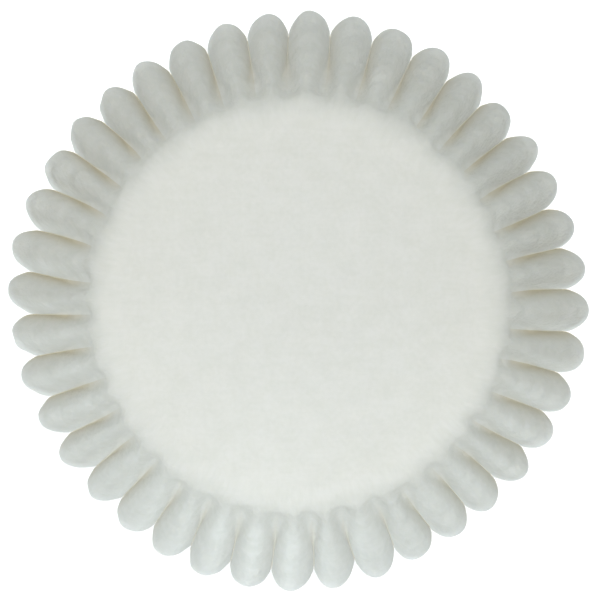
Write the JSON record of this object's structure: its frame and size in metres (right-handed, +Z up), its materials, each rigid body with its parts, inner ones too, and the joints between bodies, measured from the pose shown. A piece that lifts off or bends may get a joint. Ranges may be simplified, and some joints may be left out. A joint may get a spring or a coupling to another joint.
{
  "type": "cupcake liner",
  "caption": "Round paper cupcake liner with a flat floor and a flaring fluted wall, which lines a muffin tin and holds one cake.",
  "frame": {"origin": "middle of the underside of the floor", "axes": "+Z up the axis of the cup; seen from above as in the picture, +X is to the right and +Y is up the picture"},
  "size_m": [0.067, 0.067, 0.0313],
  "materials": {
    "baking_paper": "uncoated off-white greaseproof paper, matt, slightly translucent"
  },
  "bodies": {
    "root": {"liner": "baking_paper"}
  },
  "joints": []
}
